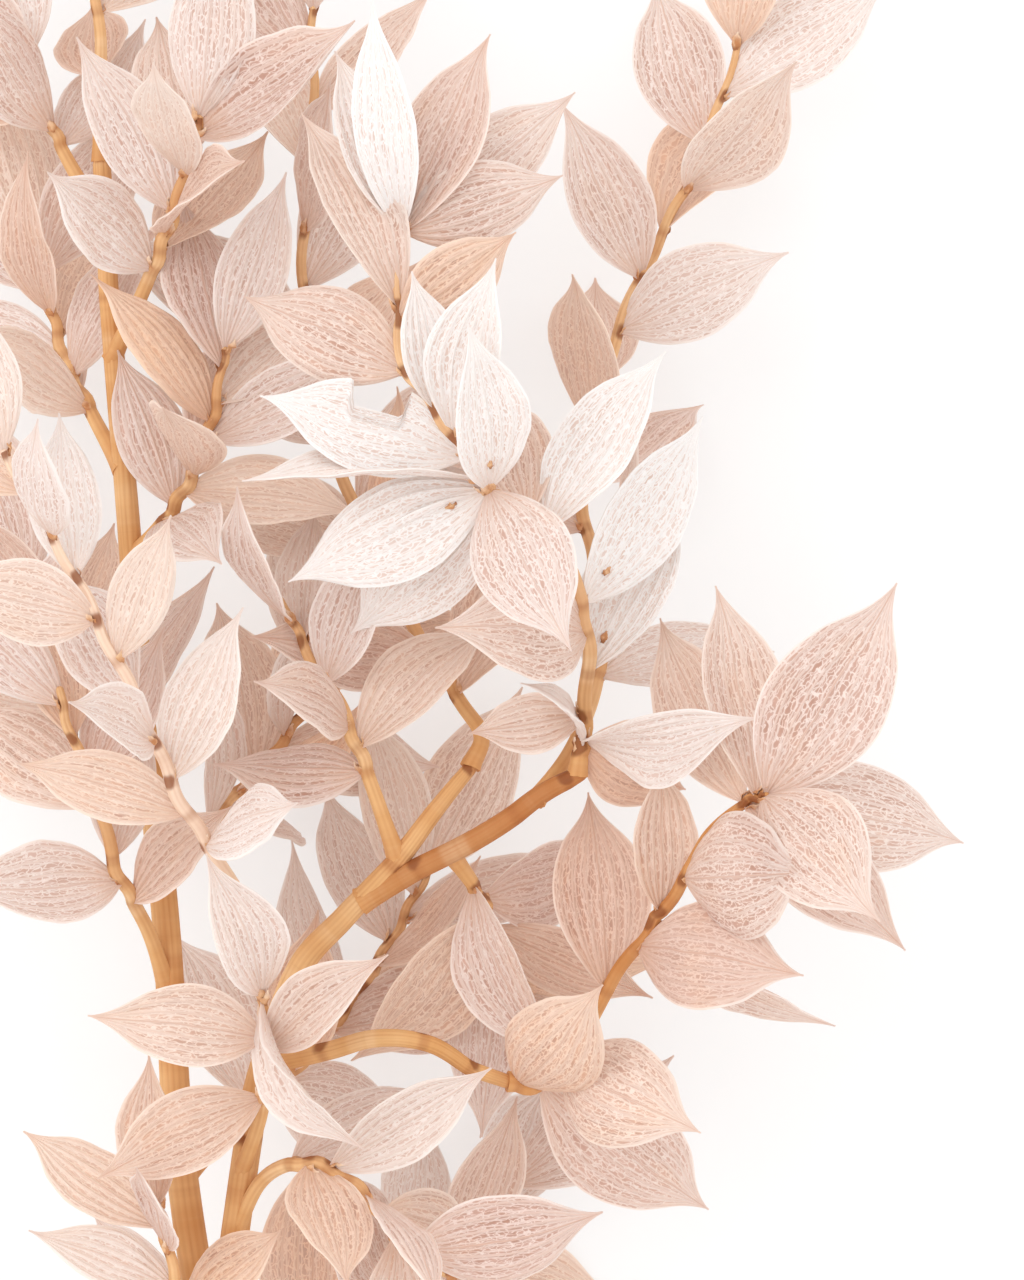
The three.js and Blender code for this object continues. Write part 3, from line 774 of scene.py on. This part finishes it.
def leaf_seeds(name, leaves):
    """The seeds of leaves, each given as a dict in millimetres and degrees."""
    carried = {key: [leaf[key] for leaf in leaves] for key in ("along", "face", "cup", "arch")}
    carried["length"] = [leaf["length"] * MM for leaf in leaves]
    carried["width"] = [leaf["width"] * MM for leaf in leaves]
    carried["twist"] = [math.radians(leaf["twist"]) for leaf in leaves]
    carried["tone"] = [leaf.get("tone", 0.5) for leaf in leaves]
    carried["gold"] = [leaf.get("gold", 0.0) for leaf in leaves]
    carried["bite"] = [leaf.get("bite", 0.0) for leaf in leaves]
    carried["seed"] = [leaf["seed"] for leaf in leaves]
    return seed_mesh(name, [leaf["base"] * MM for leaf in leaves], [], carried)


def husk(base, along, face, length, seed):
    """One papery scale: where its foot is, where it points and where its back looks."""
    return {
        "base": base,
        "along": along,
        "face": face,
        "length": length,
        "width": length * 0.58,
        "arch": 0.08,
        "cup": -0.7,
        "twist": 0,
        "seed": seed,
    }


def scales(name, path, leaves):
    """A small brown scale under the foot of each leaf, pressed to the twig, and on some leaves
    one more near the foot of the midrib, where a flower stood."""
    husks = []
    for leaf in leaves:
        _, tangent = on_path(path, leaf["share"])
        out = (leaf["along"] - tangent * leaf["along"].dot(tangent)).normalized()
        along = (tangent + out * 0.35).normalized()
        face = (out - along * out.dot(along)).normalized()
        foot = leaf["base"] + out * 0.5 - tangent * 0.9
        husks.append(husk(foot, along, face, SCALE_LENGTH, leaf["seed"]))
        if leaf.get("bud"):
            t = BUD_PLACE
            on_leaf = leaf["along"] * t + leaf["face"] * (leaf["arch"] * 4 * t * (1 - t))
            foot = leaf["base"] + on_leaf * leaf["length"] + leaf["face"] * 0.1
            along = (leaf["along"] + leaf["face"] * 0.3).normalized()
            face = (leaf["face"] - along * leaf["face"].dot(along)).normalized()
            husks.append(husk(foot, along, face, BUD_LENGTH, leaf["seed"] + 0.5))
    settings = {
        "Veins": 1,
        "Rows": 8,
        "Thickness": 0.16 * MM,
        "Vein Height": 0.08 * MM,
        "Rib Height": 0.0,
        "Stalk": 0.5 * MM,
        "Material": SCALE,
    }
    return grown(name, LEAF_TREE, leaf_seeds(name, husks), settings)


def joined(pieces):
    """One object out of several that move together."""
    with bpy.context.temp_override(
        active_object=pieces[0], selected_editable_objects=pieces, object=pieces[0]
    ):
        bpy.ops.object.join()
    return pieces[0]


def dress(name, points, leaves, rows, pale=TWIG_PALENESS):
    """A leafy twig in place of its plain solid: the twig with its scales, and its leaves."""
    path = [Vector(point) for point in points]
    rings = [path_length(path, leaf["share"]) for leaf in leaves]
    twig_settings = {"Sides": 20, "Ridges": 7.0, "Ridge Height": 0.18 * MM, "Material": BARK}
    seeds = limb(points, TWIG_RADIUS, rings, pale, flare=0.5, step=0.9)
    twig = wood(name + "_twig", [seeds], twig_settings)
    twig = joined([twig, scales(name + "_scales", path, leaves)])
    settings = {
        "Veins": LEAF_VEINS,
        "Rows": rows,
        "Thickness": LEAF_THICKNESS * MM,
        "Vein Height": 0.09 * MM,
        "Rib Height": 0.13 * MM,
        "Stalk": 0.42 * MM,
        "Material": LEAF,
    }
    foliage = grown(name + "_leaves", LEAF_TREE, leaf_seeds(name, leaves), settings)
    for piece, slot in ((twig, "bark"), (foliage, "leaf")):
        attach(piece, "root")
        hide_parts(name)


LEAF_TREE = leaf_tree()
LEAF = leaf_finish()
SCALE = scale_finish()

# ---- the sprays placed leaf by leaf --------------------------------------------------------
# The long twig in the middle opens into a rosette halfway and ends in a fan, the twig at the
# right ends in a fan of the broadest leaves, and the short one at the fork has curled leaves.
# A row is (ring on the path, bearing, lift, roll, length, width, arch, cup, twist, whiteness,
# goldenness).

TOP_PATH = [
    (34, 301.9, 48),
    (35, 309.9, 49),
    (35.5, 316.8, 51),
    (34.6, 326.5, 56),
    (29.3, 337.1, 62),
    (21.3, 342.8, 67),
    (16.5, 350.3, 68),
    (12.1, 356.3, 68),
    (9.3, 360.1, 67),
    (8.3, 369.9, 65),
    (8.9, 379.7, 62),
]
TOP_LEAVES = [
    (0.65, 2, 40, 30, 32, 12, 0.06, 0.5, 75, 0.6, 0.1),
    (2.6, 178, 42, 10, 28, 16, 0.1, 0.2, 0, 0.3, 0.3),
    (2, 60, -20, -30, 31, 14, 0.05, 0.2, 10, 0.95, 0.1),
    (3, 58, -10, 35, 33, 14, 0.03, 0.2, 10, 1.0, 0.1),
    (4, 55, -5, -30, 31, 13, 0.04, 0.3, 0, 0.95, 0.1),
    (4.3, 104, -46, 0, 25, 12, 0.05, 0.2, 0, 0.2, 0.4),
    (5, 297, 32, 5, 31, 15, 0.1, -0.2, 0, 0.35, 0.0),
    (4.9, 222, -20, -15, 31, 15, 0.08, 0.1, 0, 0.75, 0.1),
    (5, 205, -8, 10, 32, 14.5, 0.06, -0.15, 0, 0.85, 0.1),
    (5.2, 179, 5, 70, 34, 12, 0.04, 0.3, 20, 0.7, 0.1),
    (5.6, 165, -5, 15, 31, 14, 0.04, 0.2, 0, 0.95, 0.1),
    (5, 97, 36, 25, 29, 12, 0.08, 0.3, 0, 0.9, 0.1),
    (6, 79, 30, -20, 30, 11.5, 0.05, 0.3, 0, 0.9, 0.1),
    (6.6, 99, 10, 20, 20, 9, 0.05, 0.3, 0, 0.85, 0.1),
    (7.9, 152, -20, 0, 28, 13.5, 0.06, -0.2, 0, 0.22, 0.3),
    (8.9, 117, -10, 30, 32, 12, 0.05, 0.5, 20, 0.3, 0.4),
    (8.7, 36, 2, 10, 21, 11, 0.08, -0.2, 0, 0.2, 0.9),
    (10, 22, -6, 10, 24.5, 12.5, 0.08, -0.2, 0, 0.25, 0.2),
    (10, 40, -20, 15, 34, 13, 0.05, -0.1, 0, 0.3, 0.1),
    (10, 65, -8, -20, 32, 13, 0.04, 0.2, 0, 0.1, 0.1),
    (10, 110, -12, 25, 29, 12, 0.04, 0.3, 0, 0.6, 0.1),
    (10, 96, 14, -20, 34, 9.5, 0.04, 0.3, 10, 1.0, 0.1),
    (0.55, 338, -22, 5, 18, 13, 0.08, -0.2, 0, 0.05, 0.6),
    (0.45, 132, 35, 75, 16, 6, 0.16, 0.3, 40, 0.7, 0.1),
    (1.1, 192, -4, 10, 17, 9, 0.08, 0.2, 0, 0.3, 0.4),
]
BITTEN_LEAF = 10  # the leaf of the top spray that something has chewed, and on which side
BITTEN_SIDE = 1.0
TOP_BUDS = (2, 3, 8, 11)  # the leaves that bore a flower
RIGHT_PATH = [
    (23.9, 257.5, 45.9),
    (28.6, 257.4, 45),
    (33.6, 263.2, 46),
    (37.7, 269.8, 47),
    (44.8, 280.3, 50),
    (50.2, 288.6, 54),
    (53.5, 293.9, 58),
    (57.9, 298.1, 62),
    (60.8, 299.3, 64),
]
RIGHT_LEAVES = [
    (0.35, 47, 50, 5, 28, 15, 0.12, -0.3, 0, 0.22, 0.85),
    (1, 322, -20, 10, 34, 17, 0.05, 0.15, 0, 0.12, 0.1),
    (1.6, 332, 40, 0, 28, 16, 0.12, -0.3, 0, 0.22, 0.45),
    (8, 60, 12, 10, 36, 18, 0.05, 0.15, 0, 0.12, 0.0),
    (8, 345, -22, -15, 32, 16, 0.08, -0.1, 0, 0.3, 0.1),
    (7.8, 316, 42, 0, 32, 16, 0.1, -0.2, 0, 0.22, 0.2),
    (4.8, 5, 52, 0, 31, 18.5, 0.12, -0.35, 0, 0.14, 0.1),
    (7, 316, 4, -20, 31, 14, 0.05, 0.1, 0, 0.1, 0.1),
    (3.7, 353, 40, -10, 30, 16, 0.1, -0.2, 0, 0.06, 0.1),
    (4, 329, -22, 65, 33, 13, 0.05, 0.2, 10, 0.15, 0.1),
    (7.5, 102, -20, 30, 33, 14, 0.05, 0.3, 0, 0.25, 0.3),
    (7, 113, -32, -25, 34, 13, 0.05, 0.3, 0, 0.15, 0.4),
    (4.2, 94, 3, 30, 22, 11, 0.05, 0.3, 0, 0.2, 0.6),
    (3.1, 95, -20, 10, 31, 14.5, 0.06, 0.2, 0, 0.08, 0.4),
]
FORK_TWIG_PATH = [(-15, 243.5, 39), (-11.6, 253.4, 47), (-10.9, 262.4, 52), (-11.4, 270.4, 55)]
FORK_TWIG_LEAVES = [
    (3, 105, 38, 20, 27, 11, 0.06, 0.4, 20, 0.45, 0.1),
    (2.9, 303, 8, 55, 26, 10, 0.12, 0.7, 60, 0.5, 0.2),
    (2.2, 170, 12, 5, 26, 12, 0.08, 0.3, 20, 0.3, 0.5),
    (2, 40, 25, -20, 25, 10, 0.06, 0.4, 30, 0.3, 0.3),
    (1.2, 205, -5, 10, 27, 12, 0.06, 0.3, 0, 0.2, 0.6),
]


def placed_leaves(points, rows, buds=()):
    """The leaves of a twig that are placed one by one."""
    path = [Vector(point) for point in points]
    leaves = []
    for number, (ring, bearing, lift, roll, *form, tone, gold) in enumerate(rows):
        share = ring / (len(path) - 1)
        along, face = aim(bearing, lift, roll)
        length, width, arch, cup, twist = form
        leaves.append(
            {
                "share": share,
                "base": on_path(path, share)[0],
                "along": along,
                "face": face,
                "length": length,
                "width": width,
                "arch": arch,
                "cup": cup,
                "twist": twist,
                "tone": tone,
                "gold": gold,
                "bud": number in buds,
                "seed": number * PATTERN_STEP,
            }
        )
    return leaves


top_leaves = placed_leaves(TOP_PATH, TOP_LEAVES, TOP_BUDS)
top_leaves[BITTEN_LEAF]["bite"] = BITTEN_SIDE
dress("top_spray", TOP_PATH, top_leaves, CLOSE_ROWS, 0.5)
right_leaves = placed_leaves(RIGHT_PATH, RIGHT_LEAVES)
dress("right_spray", RIGHT_PATH, right_leaves, CLOSE_ROWS, -0.15)
fork_leaves = placed_leaves(FORK_TWIG_PATH, FORK_TWIG_LEAVES)
dress("fork_spray", FORK_TWIG_PATH, fork_leaves, CLOSE_ROWS)

# ---- the sprays that grew by rule ----------------------------------------------------------
# Leaves stand round a twig in a spiral, each a golden angle on from the last, and spread less
# towards the tip. `lost` lists those that have dropped off.

SPREAD = (62, 40)  # degrees between a twig and a leaf, at the twig's foot and at its tip
LAST_SPREAD = 10  # the leaf at the very tip goes nearly straight on
FACING_UP = 0.8
VARIES = {  # from leaf to leaf: least and most
    "turn": (-15, 15),  # degrees round the twig, off the golden angle
    "spread": (-8, 8),
    "forward": (0.2, 0.8),  # how far its face tips towards the twig's tip
    "sideways": (-0.45, 0.45),
    "length": (0.82, 1.06),  # over the usual length
    "width": (0.78, 1.12),
    "arch": (-0.07, 0.11),
    "cup": (-0.28, 0.52),
    "twist": (-35, 35),
}
LEAF_WHITENESS = 0.1
PALER_TWIGS = {"left_front_spray": (0.35, 0.8)}  # how white its leaves and how pale its wood is
GROWN_TWIGS = {
    "middle_spray": {
        "path": [
            (18.5, 302.9, 43),
            (20.1, 307.6, 42),
            (16.4, 313.4, 40),
            (7.9, 328, 35),
            (2.3, 339.7, 32),
            (-2.7, 353.7, 30),
            (-6, 372.8, 29),
            (-4.9, 394.8, 29),
            (-4.6, 413.9, 29),
        ],
        "grown": dict(count=16, first=0.25, start=20, size=1.02, seed=11, lost=[6]),
    },
    "left_front_spray": {
        "path": [
            (-10.6, 278, 43.5),
            (-15.8, 286.7, 55),
            (-22.7, 298.6, 63),
            (-29.6, 314.3, 68),
            (-37.8, 331.1, 71),
            (-47.3, 348, 73),
        ],
        "grown": dict(count=11, first=0.3, start=60, size=0.86, seed=5, lost=[]),
    },
    "right_back_spray": {
        "path": [
            (28, 298.2, 48),
            (33.4, 306, 42),
            (37, 316, 35),
            (37.2, 328, 28),
            (35.2, 342.1, 22),
            (37.6, 359.2, 19),
            (44.7, 377.4, 18),
            (52.4, 392.5, 18),
            (58, 409.5, 18),
        ],
        "grown": dict(count=15, first=0.25, start=0, size=1, seed=3, lost=[1]),
    },
    "centre_spray": {
        "path": [
            (7.9, 290, 46),
            (4.3, 300.5, 49),
            (0.6, 309.9, 49),
            (-4.3, 318.6, 48),
            (-9, 327.2, 47),
        ],
        "grown": dict(count=9, first=0.3, start=200, size=0.9, seed=7, lost=[3, 5, 8]),
    },
    "inner_spray": {
        "path": [(15.6, 290.8, 47), (20, 283.9, 40), (22.8, 275.3, 34), (27, 268, 30)],
        "grown": dict(count=10, first=0.25, start=90, size=0.95, seed=8, lost=[]),
    },
    "bottom_spray": {
        "path": [
            (-16.7, 232.5, 36.5),
            (-11.7, 243, 42),
            (-4.7, 245.7, 46),
            (2.6, 241.9, 47),
            (8.4, 234.6, 46),
            (15.6, 229.4, 44),
        ],
        "grown": dict(count=11, first=0.25, start=130, size=0.95, seed=10, lost=[0]),
    },
    "bottom_left_spray": {
        "path": [
            (-19.6, 213, 28.4),
            (-22.6, 219.6, 34),
            (-24.4, 226, 38),
            (-25.4, 232.4, 40),
            (-27, 239, 41),
        ],
        "grown": dict(count=7, first=0.3, start=250, size=0.82, seed=12, lost=[3]),
    },
    "left_low_spray": {
        "path": [
            (-26, 270.9, 32),
            (-28.5, 279.2, 38),
            (-32.6, 287.8, 44),
            (-35.6, 298.3, 48),
            (-38.9, 307.7, 50),
            (-40.6, 314.2, 51),
        ],
        "grown": dict(count=11, first=0.3, start=30, size=0.95, seed=13, lost=[3, 6, 8, 10]),
    },
    "low_centre_spray": {
        "path": [
            (-27.3, 287, 32),
            (-21.5, 293, 28),
            (-14.5, 300.5, 24),
            (-7, 309.5, 21),
            (-1, 319, 19),
        ],
        "grown": dict(count=10, first=0.3, start=150, size=1, seed=22, lost=[9]),
    },
    "left_back_spray_1": {
        "path": [
            (-28.2, 299.5, 32.5),
            (-33.6, 306, 28),
            (-39.2, 312.6, 24),
            (-43.7, 319.2, 21),
            (-47.5, 327.3, 19),
        ],
        "grown": dict(count=9, first=0.3, start=0, size=1, seed=14, lost=[]),
    },
    "left_inner_spray_1": {
        "path": [
            (-31.3, 333.1, 33.5),
            (-26, 338.9, 38),
            (-21.5, 346.1, 42),
            (-18.5, 354.8, 44),
            (-17, 363.4, 45),
        ],
        "grown": dict(count=11, first=0.25, start=70, size=0.92, seed=15, lost=[8]),
    },
    "left_back_spray_2": {
        "path": [
            (-32.4, 346.3, 34),
            (-36.6, 353.7, 29),
            (-40.4, 361.1, 25),
            (-43.5, 370, 22),
            (-45, 378.9, 20),
        ],
        "grown": dict(count=9, first=0.3, start=120, size=1, seed=16, lost=[]),
    },
    "left_inner_spray_2": {
        "path": [
            (-33.9, 362.4, 34),
            (-29.6, 371, 39),
            (-25.9, 379.6, 43),
            (-22.9, 388.2, 45),
            (-20.7, 396.9, 46),
        ],
        "grown": dict(count=10, first=0.3, start=10, size=0.95, seed=17, lost=[0, 5]),
    },
    "left_back_spray_3": {
        "path": [(-34.8, 382.8, 34), (-39.6, 390.2, 33), (-43.3, 397.6, 32), (-46.6, 406.4, 31)],
        "grown": dict(count=8, first=0.3, start=45, size=0.95, seed=18, lost=[0, 1, 5]),
    },
    "cane_tip_spray": {
        "path": [(-35.4, 391.4, 34), (-35.7, 401.8, 34), (-36, 412.1, 33), (-36.3, 423.9, 32)],
        "grown": dict(count=9, first=0.2, start=0, size=0.95, seed=19, lost=[0, 1, 3, 4]),
    },
    "under_spray_1": {
        "path": [(-23, 243, 30.5), (-14, 252, 24), (-4, 262, 18), (5, 274, 14), (12, 287, 12)],
        "grown": dict(count=13, first=0.2, start=60, size=1, seed=20, lost=[0]),
    },
    "under_spray_2": {
        "path": [(-18.2, 203, 27), (-9, 212, 19), (2, 221, 13), (14, 229, 10), (24, 240, 9)],
        "grown": dict(count=9, first=0.25, start=10, size=1, seed=21, lost=[]),
    },
}


def grown_leaves(points, tone, count, first, start, size, seed, lost):
    """The leaves of a twig that grew by rule, each a little different."""
    path = [Vector(point) for point in points]
    numbers = draws(seed)

    def vary(name):
        least, most = VARIES[name]
        return least + (most - least) * next(numbers)

    leaves = []
    for i in range(count):
        share = i / (count - 1)
        on_twig = first + (1 - first) * share
        base, tangent = on_path(path, on_twig)
        across = tangent.cross(UP).normalized()
        over = across.cross(tangent)
        round_twig = math.radians(start + i * GOLDEN_ANGLE + vary("turn"))
        usual = SPREAD[0] + (SPREAD[1] - SPREAD[0]) * share
        last = i == count - 1
        spread = math.radians(LAST_SPREAD if last else usual + vary("spread"))
        along = (
            tangent * math.cos(spread)
            + across * math.sin(spread) * math.cos(round_twig)
            + over * math.sin(spread) * math.sin(round_twig)
        )
        face = UP * FACING_UP + tangent * vary("forward")
        face += across * vary("sideways")
        face = (face - along * face.dot(along)).normalized()
        length = LEAF_LENGTH * size * vary("length")
        leaf = {
            "share": on_twig,
            "base": base,
            "along": along,
            "face": face,
            "length": length,
            "width": length * LEAF_SHARE * vary("width"),
            "arch": vary("arch"),
            "cup": vary("cup"),
            "twist": vary("twist"),
        }
        leaf["seed"] = seed + i * PATTERN_STEP
        whitened = (i * 0.618 + seed * 0.31) % 1  # uneven from leaf to leaf, with no draw
        yellowed = (i * 0.755 + seed * 0.43) % 1
        leaf["tone"] = tone + 0.5 * whitened**2
        leaf["gold"] = max(0, 1.8 * yellowed - 0.7)
        if i not in lost:
            leaves.append(leaf)
    return leaves


for name, twig in GROWN_TWIGS.items():
    tone, pale = PALER_TWIGS.get(name, (LEAF_WHITENESS, TWIG_PALENESS))
    leaves = grown_leaves(twig["path"], tone, **twig["grown"])
    dress(name, twig["path"], leaves, FAR_ROWS, pale)

# ---- the table and the light ---------------------------------------------------------------
# A plain, pale table under a bright, even sky of white cloth, with one large soft lamp from
# the upper left.

TABLE_SIDE = 8
SQUARE = ((-1, -1), (1, -1), (1, 1), (-1, 1))

table_mesh = bpy.data.meshes.new("table")
table_corners = [(x * TABLE_SIDE / 2, y * TABLE_SIDE / 2, 0) for x, y in SQUARE]
table_mesh.from_pydata(table_corners, [], [(0, 1, 2, 3)])
table = bpy.data.objects.new("table", table_mesh)
bpy.context.collection.objects.link(table)
white_top, tree = finish("white_top")
cloth = tree.noise(tree.add("ShaderNodeTexCoord", {}, {}).other("Object"), 300, 2)
top_colour = tree.mix(cloth * 0.2, paint(180, 180, 180), paint(176, 176, 176))
top = tree.add(
    "ShaderNodeBsdfPrincipled",
    {},
    {
        "Base Color": top_colour,
        "Roughness": 0.8,
        "Emission Color": (1, 1, 1, 1),
        "Emission Strength": 0.53,
    },
)
tree.add("ShaderNodeOutputMaterial", {}, {"Surface": top})
table_mesh.materials.append(white_top)

sky = bpy.data.worlds.new("white_cloth")
bpy.context.scene.world = sky
sky.use_nodes = True
sky.node_tree.nodes["Background"].inputs["Color"].default_value = (1, 0.995, 0.99, 1)
sky.node_tree.nodes["Background"].inputs["Strength"].default_value = 1.18

lamp_data = bpy.data.lights.new("soft_lamp", "AREA")
lamp_data.size = 1.1
lamp_data.energy = 6
lamp = bpy.data.objects.new("soft_lamp", lamp_data)
lamp.location = (-0.9, 1.0, 1.5)
to_head = VIEW_CENTRE - lamp.location
lamp.rotation_euler = to_head.to_track_quat("-Z", "Y").to_euler()
bpy.context.collection.objects.link(lamp)
bpy.context.scene.view_settings.view_transform = "Standard"
